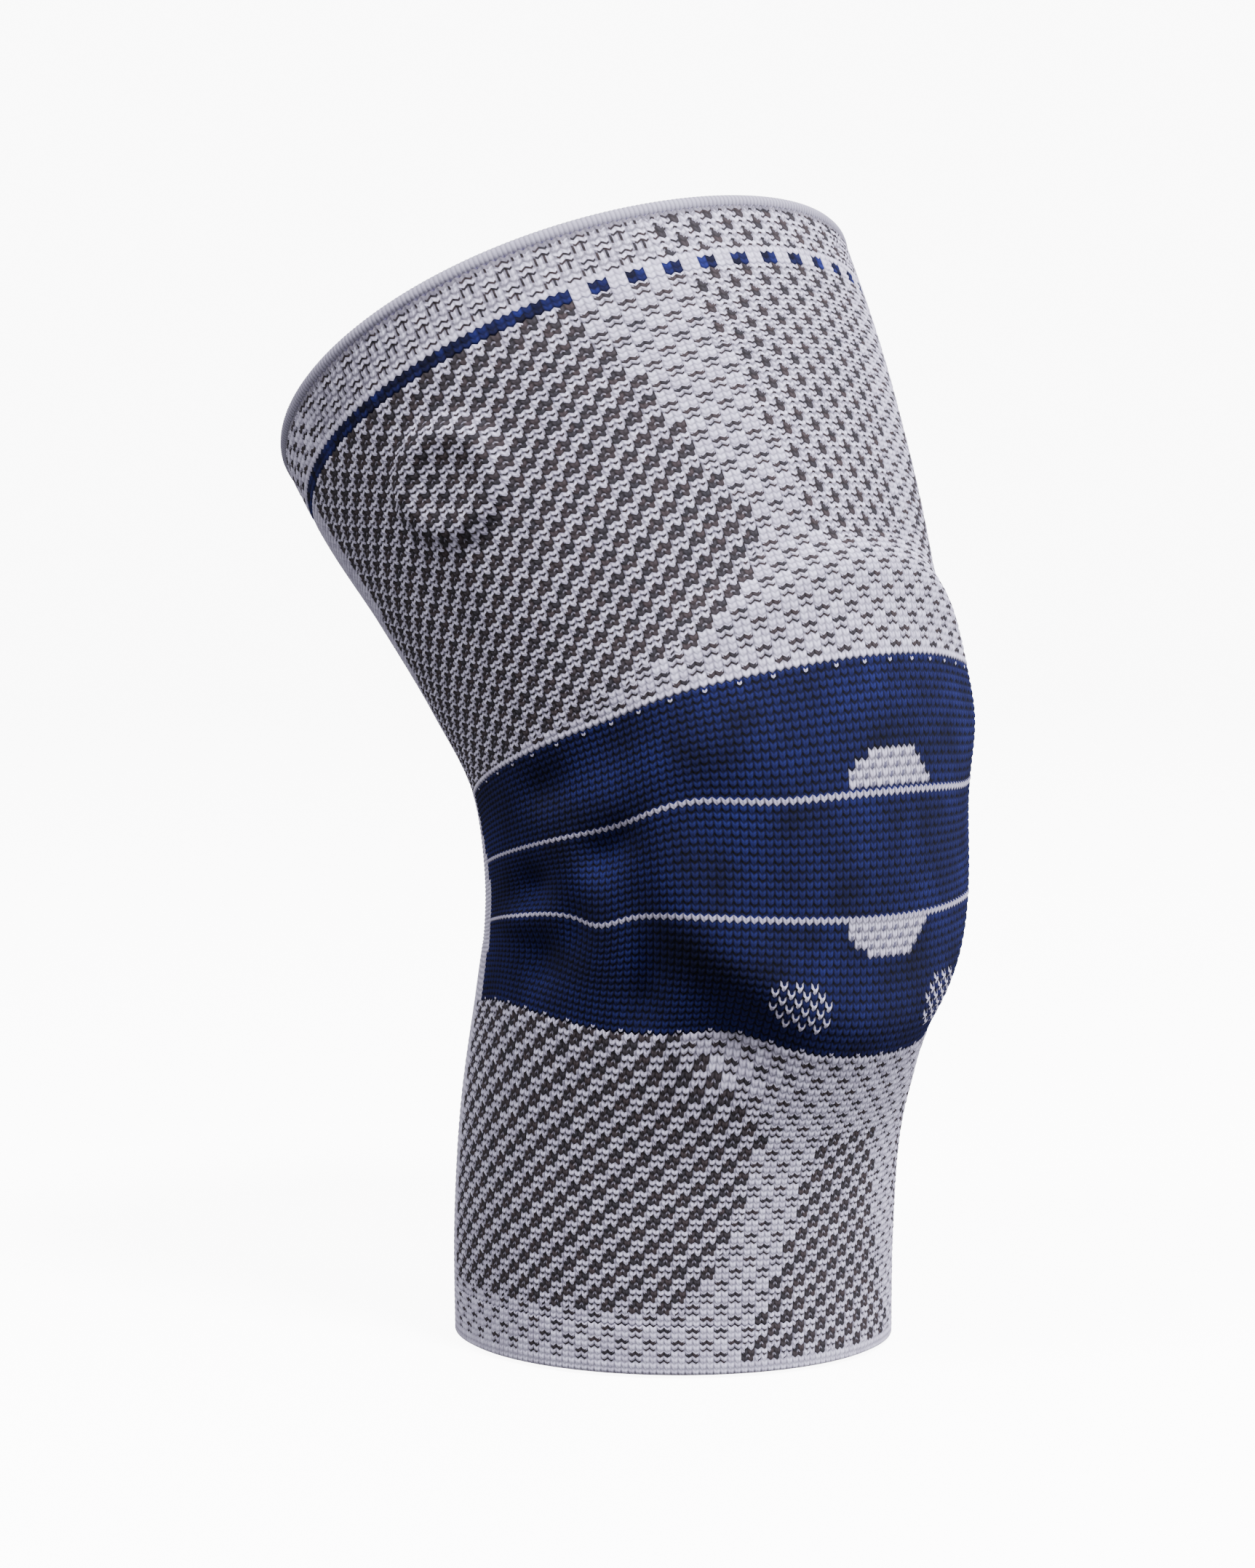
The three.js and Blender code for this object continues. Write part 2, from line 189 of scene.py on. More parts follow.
# %% Pads and folds that move the knit
KNEECAP_RISE = 5.8 * MM
KNEECAP_SPAN = 62
KNOB_RADIUS = 11 * MM
KNOB_RISE = 3.6 * MM
FOLD_DEPTH = 3.4 * MM
COURSE_SHIFT = 4.5 * MM
KNOB_SPREAD = 1.25 * KNOB_RADIUS
KNOB_SPAN = KNOB_SPREAD * TURN / (math.pi * THIGH_DIAMETER)
KNOB_REACH = KNOB_SPREAD * (COURSES - BAND_TOP) / (THIGH_RISE * BAND_COURSES)
ONE = [1]
BOTH = [1, -1]
RELIEF_COLUMNS = ["turn", "span", "course", "reach", "power", "by", "out", "up", "sides"]
RELIEFS = {
    "kneecap": [0, KNEECAP_SPAN, band(0.556), 0.69, 4, KNEECAP_RISE, 1, 0, ONE],
    "knob": [79, 1.25 * KNOB_SPAN, thigh(0.625), 1.25 * KNOB_REACH, 7, KNOB_RISE, 1.1, 0, ONE],
    "hollow in the kneecap's ring": [0, 40, band(0.556), 0.45, 4, KNEECAP_RISE, -0.25, 0, ONE],
    "ring round the kneecap": [4, 60, band(0.7), 0.66, 9, FOLD_DEPTH, 1.6, 0, ONE],
    "inside of that ring": [4, 53, band(0.7), 0.56, 9, FOLD_DEPTH, -1.6, 0, ONE],
    "lip beside the kneecap": [44, 14, band(0.85), 0.16, 2, FOLD_DEPTH, 0.7, 0, BOTH],
    "crease beside the knob": [94, 7, thigh(0.41), 0.26, 2, FOLD_DEPTH, -0.4, 0, ONE],
    "knob's dimple": [79, 0.85 * KNOB_SPAN, thigh(0.615), 0.85 * KNOB_REACH, 4, KNOB_RISE, -0.65, 0, ONE],
    "dent above the upper line": [86, 8, band(0.87), 0.08, 2, FOLD_DEPTH, -0.6, 0, BOTH],
    "dent on the upper line": [67, 5, band(0.63), 0.07, 2, FOLD_DEPTH, -0.5, 0, BOTH],
    "dent at the kneecap's foot": [60, 5, band(0.15), 0.12, 2, FOLD_DEPTH, -0.2, 0, BOTH],
    "fold behind the kneecap": [81, 4.5, band(0.33), 0.11, 2, FOLD_DEPTH, -0.5, 0, BOTH],
    "arch under the kneecap": [40, 16, band(0), 0.18, 2, COURSE_SHIFT, 0, 1, BOTH],
    "arch beside the kneecap": [50, 13, band(0.667), 0.2, 2, COURSE_SHIFT, 0, 0.65, BOTH],
    "sag behind the kneecap": [74, 8, band(0.333), 0.18, 2, COURSE_SHIFT, 0, -0.65, BOTH],
    "droop behind the knee": [127, 14, band(0), 0.18, 2, COURSE_SHIFT, 0, -0.9, BOTH],
    "groove beside the kneecap": [63, 6, band(0.578), 0.22, 2, FOLD_DEPTH, -0.5, 0, BOTH],
    "crease at the kneecap's foot": [61, 5, band(0.133), 0.13, 2, FOLD_DEPTH, -0.6, 0, BOTH],
    "upper side fold": [73, 6, band(0.6), 0.09, 2, FOLD_DEPTH, -0.8, 0, BOTH],
    "middle rear fold": [96, 8, band(0.489), 0.11, 2, FOLD_DEPTH, -1, 0, BOTH],
    "lower rear fold": [92, 8, band(0.2), 0.11, 2, FOLD_DEPTH, -1, 0, BOTH],
    "ridge between rear folds": [100, 12, band(0.356), 0.08, 2, FOLD_DEPTH, 0.5, 0, BOTH],
    "hollow under the upper edge": [66, 14, band(0.911), 0.13, 2, FOLD_DEPTH, -0.6, 0, BOTH],
    "notch under the kneecap": [38, 8, band(-0.022), 0.09, 2, FOLD_DEPTH, -0.6, 0, BOTH],
}
print(len(RELIEFS), "pads and folds")


# %% The tube's outer face
def smooth_curve(places, values, at):
    """A smooth curve through one column of a table."""
    step = np.diff(places)
    grade = np.diff(values) / step
    slope = np.concatenate([grade[:1], grade, grade[-1:]])[: len(places)].copy()
    slope[1:-1] = (grade[:-1] * step[1:] + grade[1:] * step[:-1]) / (step[:-1] + step[1:])
    slope[-1] = grade[-1]
    k = np.clip(np.searchsorted(places, at) - 1, 0, len(places) - 2)
    t = (at - places[k]) / step[k]
    start = (2 * t**3 - 3 * t**2 + 1) * values[k] + (t**3 - 2 * t**2 + t) * step[k] * slope[k]
    end = (3 * t**2 - 2 * t**3) * values[k + 1] + (t**3 - t**2) * step[k] * slope[k + 1]
    return start + end


def relief_share(relief, course, turn):
    """How far a pad or fold reaches at a place, from 0 to 1."""
    share = 0
    for side in relief["sides"]:
        across = (side * turn - relief["turn"] + TURN / 2) % TURN - TURN / 2
        up = (course - relief["course"]) / (relief["reach"] * BAND_COURSES)
        far = np.hypot(across / relief["span"], up)
        share = share + np.exp(-(far ** relief["power"]))
    return share


def outer_point(course, turn):
    """Points of the outer face, from arrays of courses and turns."""

    def read(values):
        return smooth_curve(SECTIONS["course"], values, course)

    size = SECTIONS["size"]
    below = SECTIONS["rise"] < 0
    lean = np.radians(read(SECTIONS["lean"] * RIM_LEAN))
    rise = read(SECTIONS["rise"] * np.where(below, CALF_LENGTH, THIGH_RISE))
    back = read(SECTIONS["back"] * np.where(below, CALF_SETBACK, THIGH_SETBACK))
    cos = np.cos(np.radians(turn))
    sin = np.sin(np.radians(turn))
    side = read(SECTIONS["side"] * size)
    depth = np.where(cos > 0, read(SECTIONS["front"] * size), read(SECTIONS["rear"] * size)) * cos
    dip = read(SECTIONS["dip"] * size) * np.cos(2 * np.radians(turn))
    out = 0
    up = 0
    for values in RELIEFS.values():
        relief = dict(zip(RELIEF_COLUMNS, values))
        share = relief_share(relief, course, turn) * relief["by"]
        out = out + share * relief["out"]
        up = up + share * relief["up"]
    forward = depth + out * cos
    x = -(side + out) * sin
    y = back - forward * np.cos(lean) + up * np.sin(lean)
    z = rise - dip + forward * np.sin(lean) + up * np.cos(lean)
    return np.stack([x, y, z], axis=-1)


def frame_at(course, turn):
    """Steps along the courses and round the tube, and the way out of the knit."""
    nearby = 0.25
    low = np.maximum(course - nearby, 0)
    high = np.minimum(course + nearby, COURSES)
    per_course = (outer_point(high, turn) - outer_point(low, turn)) / (high - low)[..., None]
    per_degree = (outer_point(course, turn + nearby) - outer_point(course, turn - nearby)) / (2 * nearby)
    out = np.cross(per_course, per_degree)
    return per_course, per_degree, out / np.linalg.norm(out, axis=-1, keepdims=True)


def point_at(course, turn, depth):
    """Points under the outer face, at a depth inwards."""
    out = frame_at(course, turn)[2]
    return outer_point(course, turn) - out * depth[..., None]


# %% Check the tube against the fixed model
for node in ("thigh_knit", "calf_knit"):
    low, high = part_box(node)
    print(node, "in the fixed model:", [round(v / MM, 1) for v in (*low, *high)])
grid_turn, grid_course = np.meshgrid(np.arange(-180.0, 180.0, 6.0), np.linspace(BAND_TOP, CUFF_LINE, 13))
thigh_points = outer_point(grid_course, grid_turn).reshape(-1, 3) / MM
print("thigh_knit by the tables:", np.round([*thigh_points.min(0), *thigh_points.max(0)], 1).tolist())

# %% [markdown]
# ## Shader maths
#
# Materials are easier to read as formulas than as wires. A small class wraps a node's output, so that `0.9
# + mask * 0.2` adds the Math nodes itself. Any other node comes from one method, which takes the node's
# type, its settings and the values or links of its sockets.

# %% A material written as formulas
class Wire:
    """One output of a node. Arithmetic on it adds Math nodes."""

    def __init__(self, finish, socket):
        self.finish = finish
        self.socket = socket

    def math(self, operation, *values):
        sockets = dict(enumerate(values))
        return self.finish.node("ShaderNodeMath", {"operation": operation}, sockets)

    def cosine(self):
        return self.math("COSINE", self)

    def sine(self):
        return self.math("SINE", self)

    def __add__(self, other):
        return self.math("ADD", self, other)

    def __radd__(self, other):
        return self.math("ADD", other, self)

    def __mul__(self, other):
        return self.math("MULTIPLY", self, other)

    def __rmul__(self, other):
        return self.math("MULTIPLY", other, self)


class Finish:
    """A material under construction."""

    def __init__(self, name):
        self.material = bpy.data.materials.new(name)
        self.material.use_nodes = True
        self.tree = self.material.node_tree
        self.shader = self.tree.nodes["Principled BSDF"]

    def node(self, kind, settings=None, sockets=None, output=0):
        """Adds a node, sets it up, fills or links its sockets, and returns one output."""
        made = self.tree.nodes.new(kind)
        for key, value in (settings or {}).items():
            setattr(made, key, value)
        for key, value in (sockets or {}).items():
            self.fill(self.find(made.inputs, key), value)
        return Wire(self, self.find(made.outputs, output))

    @staticmethod
    def find(sockets, key):
        if isinstance(key, int):
            return sockets[key]
        return next(s for s in sockets if key in (s.identifier, s.name))

    def fill(self, socket, value):
        if isinstance(value, Wire):
            self.tree.links.new(value.socket, socket)
        else:
            socket.default_value = value

    def attribute(self, name):
        return self.node("ShaderNodeAttribute", {"attribute_name": name}, output="Fac")

    def noise(self, place, scale, detail=2.0):
        sockets = {"Vector": place, "Scale": scale, "Detail": detail}
        return self.node("ShaderNodeTexNoise", {}, sockets, "Fac")

    def bump(self, strength, distance, height):
        sockets = {"Strength": strength, "Distance": distance, "Height": height}
        return self.node("ShaderNodeBump", {}, sockets)

    def blend(self, share, first, second):
        """A colour between two colours."""
        sockets = {"Factor_Float": share, "A_Color": first, "B_Color": second}
        return self.node("ShaderNodeMix", {"data_type": "RGBA"}, sockets, "Result_Color")

    def scaled(self, colour, share):
        """A colour made lighter or darker by a wire."""
        return self.node("ShaderNodeVectorMath", {"operation": "SCALE"}, {0: colour, "Scale": share})

    def surface(self, **inputs):
        """Fills the shader's own sockets, whose names are written with _ for a space."""
        for key, value in inputs.items():
            self.fill(self.shader.inputs[key.replace("_", " ")], value)
        return self.material


def linear(red, green, blue):
    """A colour picked on a screen, from 0 to 255, as the shader counts it."""

    def one(value):
        value = value / 255
        return value / 12.92 if value <= 0.04045 else ((value + 0.055) / 1.055) ** 2.4

    return (one(red), one(green), one(blue), 1.0)


# %% [markdown]
# ## Yarns
#
# Three yarns make the whole sleeve: a pale lilac grey, a charcoal and a navy. Every little face of a
# stitch carries numbers that say which yarn shows there, how deep it lies in the knit, and how its tone
# differs from its neighbours'. The material mixes the yarn colours by those numbers, paints shade where
# the yarn lies deep, and adds fibres. The navy also gets soft patches, because its dye takes unevenly.

# %% Yarn colours and the knit's finish
PALE = linear(205, 201, 228)
PALE_SHADE = linear(193, 187, 215)
CHARCOAL = linear(50, 48, 55)
CHARCOAL_WARM = linear(60, 52, 56)
NAVY = linear(24, 29, 86)
NAVY_SHADE = linear(8, 8, 28)
YARN_GLOSS = 0.15
CLOUD_SCALE = 140.0
FIBRE_SCALE = 5200.0
PATCH_SCALE = 75.0
SPECKLE_SCALE = 1.7
FIBRE_DEPTH = 0.12 * MM
LOOP_DEPTH = 0.4 * MM


def knit_finish(name, valley_shade):
    """The outer side of the knit. valley is the painted shade between the loops: how dark the yarn is painted
    where it lies deep.
    """
    finish = Finish(name)
    charcoal_and_shade = finish.attribute("charcoal_and_shade")
    navy = finish.attribute("navy")
    lift = finish.attribute("lift")
    tone_and_light = finish.attribute("tone_and_light")
    place = finish.node("ShaderNodeTexCoord", output="Object")
    clouds = finish.noise(place, CLOUD_SCALE)
    fibres = finish.noise(place, FIBRE_SCALE)
    patches = finish.noise(place, PATCH_SCALE, 1.0)
    pale = finish.blend(tone_and_light, PALE_SHADE, PALE)
    dark = finish.blend(tone_and_light, CHARCOAL, CHARCOAL_WARM)
    blue = finish.scaled(finish.blend(tone_and_light, NAVY_SHADE, NAVY), 0.1 + 1.8 * patches)
    yarn = finish.blend(navy, finish.blend(charcoal_and_shade, pale, dark), blue)
    # Painted shade: the yarn is darker where it lies deep between the loops. The tone and the clouds vary it
    # at random, and in the navy band the tone also holds painted highlights and painted shade.
    light = (valley_shade + (1 - valley_shade) * lift) * (0.86 + 0.16 * tone_and_light + 0.1 * clouds)
    colour = finish.scaled(yarn, light * (0.9 + 0.2 * fibres))
    return finish.surface(
        Base_Color=colour,
        Roughness=0.86 + 0.1 * fibres,
        Normal=finish.bump(0.35, FIBRE_DEPTH, fibres),
        Specular_IOR_Level=YARN_GLOSS,
    )


def inside_finish(name, yarn, other):
    """The inner side: low rows of purl loops with both yarns carried behind them."""
    finish = Finish(name)
    stitches = finish.node("ShaderNodeUVMap", {"uv_map": "stitches"})
    across = finish.node("ShaderNodeSeparateXYZ", {}, {0: stitches}, "X") * (2 * math.pi)
    up = finish.node("ShaderNodeSeparateXYZ", {}, {0: stitches}, "Y") * (2 * math.pi)
    loops = (up + 1.1 * across.cosine()).sine()
    speckle = finish.noise(stitches, SPECKLE_SCALE, 3.0)
    height = 0.5 + 0.5 * loops
    # Painted shade: the colour is darker where the loops lie low.
    colour = finish.scaled(finish.blend(speckle, yarn, other), 0.62 + 0.4 * height)
    bump = finish.bump(0.8, LOOP_DEPTH, height)
    return finish.surface(Base_Color=colour, Roughness=0.92, Normal=bump, Specular_IOR_Level=YARN_GLOSS)


heather_knit = knit_finish("heather_knit", 0.33)
light_knit = knit_finish("light_knit", 0.42)
navy_knit = knit_finish("navy_knit", 0.15)
mesh_knit = knit_finish("mesh_knit", 0.42)
heather_inside = inside_finish("heather_inside", PALE, CHARCOAL)
light_inside = inside_finish("light_inside", PALE, PALE_SHADE)
navy_inside = inside_finish("navy_inside", NAVY, PALE)
print("knit finishes:", heather_knit.name, light_knit.name, navy_knit.name, mesh_knit.name)

# %% [markdown]
# ## Knitting a piece
#
# A stitch shows as a V: two legs of yarn that lean out from its foot. We give each stitch four faces
# across and three up, bend its rows into the V, raise the legs and sink the places between them. The outer
# skin is a grid of such stitches, the inner skin has one face a stitch, and short walls join them at the
# edges, so each piece is one closed body as thick as the real knit.

# %% One stitch
WALES = 200
WALE_TURN = TURN / WALES
ACROSS = 4
UP = 3
SLANT = 0.42
STITCH_HEIGHT = 0.36 * MM
PALE_HEIGHT = 0.12 * MM
LEG_ACROSS = np.array([0.0, 1.0, 0.5, 1.0])
LEG_UP = np.array([0.1, 1.0, 0.85])
EDGE_RADIUS = 0.9 * MM
INNER_LIFT = 0.6
OUTER_SHARE = 0.88
WALL_LINE = 0.89
INNER_START = 0.9
INNER_SHARE = 0.1
rng = np.random.default_rng(7)


def wale_turns():
    """The turn at the middle of each wale, from -180 up."""
    return (np.arange(WALES) + 0.5) * WALE_TURN - TURN / 2


def over_faces(values):
    """One value a stitch, repeated on all its faces."""
    return np.repeat(np.repeat(values, UP, axis=0), ACROSS, axis=1)


def corner_mean(cells):
    """The mean of the faces round each corner of a grid that closes on itself across."""
    padded = np.concatenate([cells[:1], cells, cells[-1:]])
    left = np.roll(padded, 1, axis=1)
    return (padded[:-1] + padded[1:] + left[:-1] + left[1:]) / 4


def edge_depth(length):
    """How far the surface curls inwards, by its distance from a free edge."""
    inside = np.clip(EDGE_RADIUS - length, 0, EDGE_RADIUS)
    return EDGE_RADIUS - np.sqrt(EDGE_RADIUS**2 - inside**2)


def grid_quads(rows, columns, shape, start, reverse):
    """The corners of the faces at these rows and columns of a grid of points."""
    right = (columns + 1) % shape[1]
    quads = np.stack(
        [
            rows * shape[1] + columns,
            (rows + 1) * shape[1] + columns,
            (rows + 1) * shape[1] + right,
            rows * shape[1] + right,
        ],
        axis=1,
    )
    return start + (quads[:, ::-1] if reverse else quads)


# %% A mesh from arrays
def make_mesh(name, points, polygons, attributes, uv_maps, smooth, slots, materials):
    """A mesh object. polygons are arrays of corners, one array for each number of corners."""
    corners = np.concatenate([p.ravel() for p in polygons])
    sizes = np.concatenate([np.full(len(p), p.shape[1]) for p in polygons])
    used, corners = np.unique(corners, return_inverse=True)
    mesh = bpy.data.meshes.new(name)
    mesh.vertices.add(len(used))
    mesh.vertices.foreach_set("co", points[used].astype(np.float32).ravel())
    mesh.loops.add(len(corners))
    mesh.loops.foreach_set("vertex_index", corners.astype(np.int32))
    mesh.polygons.add(len(sizes))
    starts = np.concatenate([[0], np.cumsum(sizes)[:-1]])
    mesh.polygons.foreach_set("loop_start", starts.astype(np.int32))
    mesh.polygons.foreach_set("material_index", slots.astype(np.int32))
    mesh.polygons.foreach_set("use_smooth", smooth)
    for key, values in attributes.items():
        domain = "POINT" if len(values) == len(points) else "FACE"
        values = values[used] if domain == "POINT" else values
        mesh.attributes.new(key, "FLOAT", domain).data.foreach_set("value", values.astype(np.float32))
    for key, values in uv_maps.items():
        mesh.uv_layers.new(name=key).data.foreach_set("uv", values.astype(np.float32).ravel())
    mesh.update(calc_edges=True)
    mesh.validate()
    for material in materials:
        mesh.materials.append(material)
    return add_object(name, mesh)


# %% The walls between the two skins
def wall_polygons(owns, outer_shape, inner_start):
    """Faces with 6 or 7 corners that join the skins along every edge of the piece."""
    flat = []
    upright = []
    courses, wales = owns.shape
    wide = outer_shape[1]
    for course, wale in zip(*np.nonzero(owns)):
        left = (wale - 1) % wales
        right = (wale + 1) % wales
        foot = [course * UP * wide + (wale * ACROSS + k) % wide for k in range(ACROSS + 1)]
        head = [k + UP * wide for k in foot]
        near = [(course * UP + k) * wide + wale * ACROSS for k in range(UP + 1)]
        far = [(course * UP + k) * wide + (wale + 1) * ACROSS % wide for k in range(UP + 1)]
        low_left = inner_start + course * wales + wale
        low_right = inner_start + course * wales + right
        if course == 0 or not owns[course - 1, wale]:
            flat.append([*foot, low_right, low_left])
        if course == courses - 1 or not owns[course + 1, wale]:
            flat.append([*head[::-1], low_left + wales, low_right + wales])
        if not owns[course, left]:
            upright.append([*near[::-1], low_left, low_left + wales])
        if not owns[course, right]:
            upright.append([*far, low_right + wales, low_right])
    found = [(np.array(flat), ACROSS + 3), (np.array(upright), UP + 3)]
    return [polygons.reshape(-1, corners) for polygons, corners in found if len(polygons)]


# %% A piece of knit
def knit(name, bottom, top, cells, owns, materials, free_bottom=False, free_top=False):
    """A closed piece of knit between two courses. cells has the yarns of every face of every stitch, with
    the shadows and highlights painted into them, and owns says which stitches are this piece's."""
    courses = owns.shape[0]
    step = (top - bottom) / courses
    shape = (courses * UP + 1, WALES * ACROSS)
    row, column = np.indices(shape)
    wale_part = (column % ACROSS) / ACROSS
    shear = SLANT * np.abs(2 * wale_part - 1)
    along = row / UP
    if free_bottom:
        shear = shear * np.clip(along, 0, 1)
    if free_top:
        shear = shear * np.clip(courses - along, 0, 1)
    course = bottom + along * step + shear
    turn = column / ACROSS * WALE_TURN - TURN / 2
    lift = LEG_ACROSS[column % ACROSS] * LEG_UP[row % UP]
    pale = 1 - corner_mean(np.clip(cells["charcoal_and_shade"] + cells["navy"], 0, 1))
    height = STITCH_HEIGHT * (lift - 0.5) + PALE_HEIGHT * pale
    length = np.linalg.norm(frame_at(np.array([(bottom + top) / 2]), np.zeros(1))[0])
    depth = np.zeros(shape)
    if free_bottom:
        depth = depth + edge_depth((course - bottom) * length)
    if free_top:
        depth = depth + edge_depth((top - course) * length)
    outer = point_at(course, turn, depth - height)

    inner_row, inner_column = np.indices((courses + 1, WALES))
    inner_course = bottom + inner_row * step
    inner_turn = inner_column * WALE_TURN - TURN / 2
    inner_depth = np.full(inner_row.shape, WALL)
    if free_bottom:
        inner_depth[0] -= EDGE_RADIUS
    if free_top:
        inner_depth[-1] -= EDGE_RADIUS
    inner = point_at(inner_course, inner_turn, inner_depth)

    points = np.concatenate([outer.reshape(-1, 3), inner.reshape(-1, 3)])
    face_owned = over_faces(owns)
    face_row, face_column = np.nonzero(face_owned)
    stitch_row, stitch_column = np.nonzero(owns)
    outer_quads = grid_quads(face_row, face_column, shape, 0, False)
    inner_quads = grid_quads(stitch_row, stitch_column, inner_row.shape, shape[0] * shape[1], True)
    walls = wall_polygons(owns, shape, shape[0] * shape[1])
    wall_count = sum(len(w) for w in walls)
    wall_corners = sum(w.size for w in walls)

    attributes = {"lift": np.concatenate([lift.ravel(), np.full(inner_row.size, INNER_LIFT)])}
    values = {"tone_and_light": over_faces(rng.random(owns.shape)), **cells}
    for key, value in values.items():
        by_stitch = value[UP // 2 :: UP, ACROSS // 2 :: ACROSS]
        parts = [value[face_row, face_column], by_stitch[stitch_row, stitch_column], np.zeros(wall_count)]
        attributes[key] = np.concatenate(parts)

    def quad_uv(rows, columns, tall, wide, reverse):
        across = np.stack([columns, columns, columns + 1, columns + 1], axis=1) / wide
        up = np.stack([rows, rows + 1, rows + 1, rows], axis=1) / tall
        both = np.stack([across, up], axis=2)
        return (both[:, ::-1] if reverse else both).reshape(-1, 2)

    outer_uv = quad_uv(face_row, face_column, shape[0] - 1, shape[1], False)
    inner_uv = quad_uv(stitch_row, stitch_column, courses, WALES, True)
    wall_uv = np.tile([0.5, 0.5], (wall_corners, 1))
    bake_uv = np.concatenate(
        [
            outer_uv * [1, OUTER_SHARE],
            inner_uv * [1, INNER_SHARE] + [0, INNER_START],
            wall_uv * [1, 0] + [0, WALL_LINE],
        ]
    )
    stitch_uv = np.concatenate([outer_uv, inner_uv, wall_uv]) * [WALES, courses]
    skin_count = len(outer_quads) + len(inner_quads)
    smooth = np.ones(skin_count + wall_count, bool)
    smooth[skin_count:] = False
    slots = np.zeros(len(smooth), int)
    slots[len(outer_quads) :] = 1
    piece = make_mesh(
        name,
        points,
        [outer_quads, inner_quads, *walls],
        attributes,
        {"OFBake": bake_uv, "stitches": stitch_uv},
        smooth,
        slots,
        materials,
    )
    triangles = 2 * skin_count + wall_corners - 2 * wall_count
    print(f"{name}: {owns.sum()} stitches, {triangles} triangles")
    return piece


# %% [markdown]
# ## Charts
#
# The grey zones repeat small motifs. A knitter draws each as a chart, and so do we, with four marks across
# and three up for each stitch: `#` where the charcoal yarn shows, `+` where it is half hidden, `-` where
# a faint shadow is painted and `.` where only pale yarn shows. Small dark dots set alone in the pale are
# painted shadows of the holes between stitches, and half-dark spots inside a dark star are painted
# highlights. Every second pair of courses is moved by two wales. The star's upper right and lower left
# corners are dark, so that the stars join in rising diagonals.

# %% The charts
MARKS = {"#": 1.0, "+": 0.6, "-": 0.3, ".": 0.0}


def chart(*lines):
    """A motif of four wales and four courses, from the drawing of its upper two courses. Wales are counted
    from right to left as the knit is seen from outside, so the drawing is turned round."""
    drawn = np.array([[MARKS[mark] for mark in line[::-1]] for line in lines[::-1]])
    return np.concatenate([np.roll(drawn, 2 * ACROSS, axis=1), drawn])


STAR = chart(
    ".-######+.......",
    "-#######+.......",
    "########+##++##-",
    "###++###-.+..+.-",
    "#######-......-+",
    "#######-..##...#",
)
FINE_STAR = chart(
    "..-+##+-.......-",
    "..-####-........",
    "########+-+##+-+",
    ".-+####+-+-..-+-",
    "..-####-........",
    "-######-..+##+..",
)
DASH = chart(
    "................",
    "+######+........",
    "########........",
    "................",
    "--++++--........",
    "+######+........",
)
BASKET = chart(
    "#-.+#-.-+-....-+",
    "#-.+#-.-.......+",
    "#-.+#-.-+######+",
    "#-.+#-.-+-....-+",
    "+-.-+-.-.......-",
    "-++++++-+######+",
)
PIN_DOTS = chart(
    "................",
    ".-+-............",
    "................",
    "................",
    "................",
    "................",
)
PLAIN = np.zeros_like(STAR)


def tiled(motif, bottom, courses):
    """A motif laid over every face of every stitch, in step with the whole sleeve."""
    rows = (np.arange(courses * UP) + bottom * UP) % motif.shape[0]
    columns = np.arange(WALES * ACROSS) % motif.shape[1]
    return motif[np.ix_(rows, columns)]


def zoned(bottom, courses, motifs, zone):
    """Cells where each stitch takes the motif of its zone. Zones change where a motif ends, every two courses
    and wales."""
    course = (np.arange(bottom, bottom + courses) // 2) * 2 + 1.0
    turn = wale_turns()[(np.arange(WALES) // 2) * 2] + WALE_TURN / 2
    chosen = np.broadcast_to(zone(course[:, None], turn[None, :]), (courses, WALES))
    chosen = over_faces(chosen)
    charcoal_and_shade = np.zeros(chosen.shape)
    for k, motif in enumerate(motifs):
        charcoal_and_shade = np.where(chosen == k, tiled(motif, bottom, courses), charcoal_and_shade)
    return {"charcoal_and_shade": charcoal_and_shade, "navy": np.zeros(charcoal_and_shade.shape)}


def everywhere(courses):
    return np.ones((courses, WALES), bool)


def between(courses, first, last):
    """The stitches between two turns."""
    turn = wale_turns()
    return np.tile((turn > first) & (turn < last), (courses, 1))


# %% [markdown]
# ## Thigh
#
# The thigh's knit is charcoal and pale stars, crossed by two pale stripes with small dashes that run down
# towards the kneecap, with a panel of finer stars between them. The zones' borders are drawn as a few
# points of course and turn. The mesh is cut in two along hidden wales, only to keep each part light enough
# to handle.

# %% The thigh's zones
STAR_ZONE = 0
DASH_ZONE = 1
PLAIN_ZONE = 2
FINE_ZONE = 3
STRIPE_OUTER = table(["course", "turn"], [98, 100], [101, 70], [105, 42], [118, 23], [137, 33], [167, 45])
PANEL_SIDE = table(["course", "turn"], [116, 12], [134, 16], [162, 22])
THIGH_REAR = table(["course", "turn"], [98, 136], [112, 132], [144, 123], [167, 121])
PANEL_FOOT = 116


def border(points, course):
    return np.interp(course, points["course"], points["turn"])


def thigh_zone(course, turn):
    side = np.abs(turn)
    star = (side > border(STRIPE_OUTER, course)) & (side < border(THIGH_REAR, course))
    panel = (side < border(PANEL_SIDE, course)) & (course > PANEL_FOOT)
    zone = np.where(star, STAR_ZONE, DASH_ZONE)
    zone = np.where(panel, FINE_ZONE, zone)
    return np.where(side > border(THIGH_REAR, course), PLAIN_ZONE, zone)


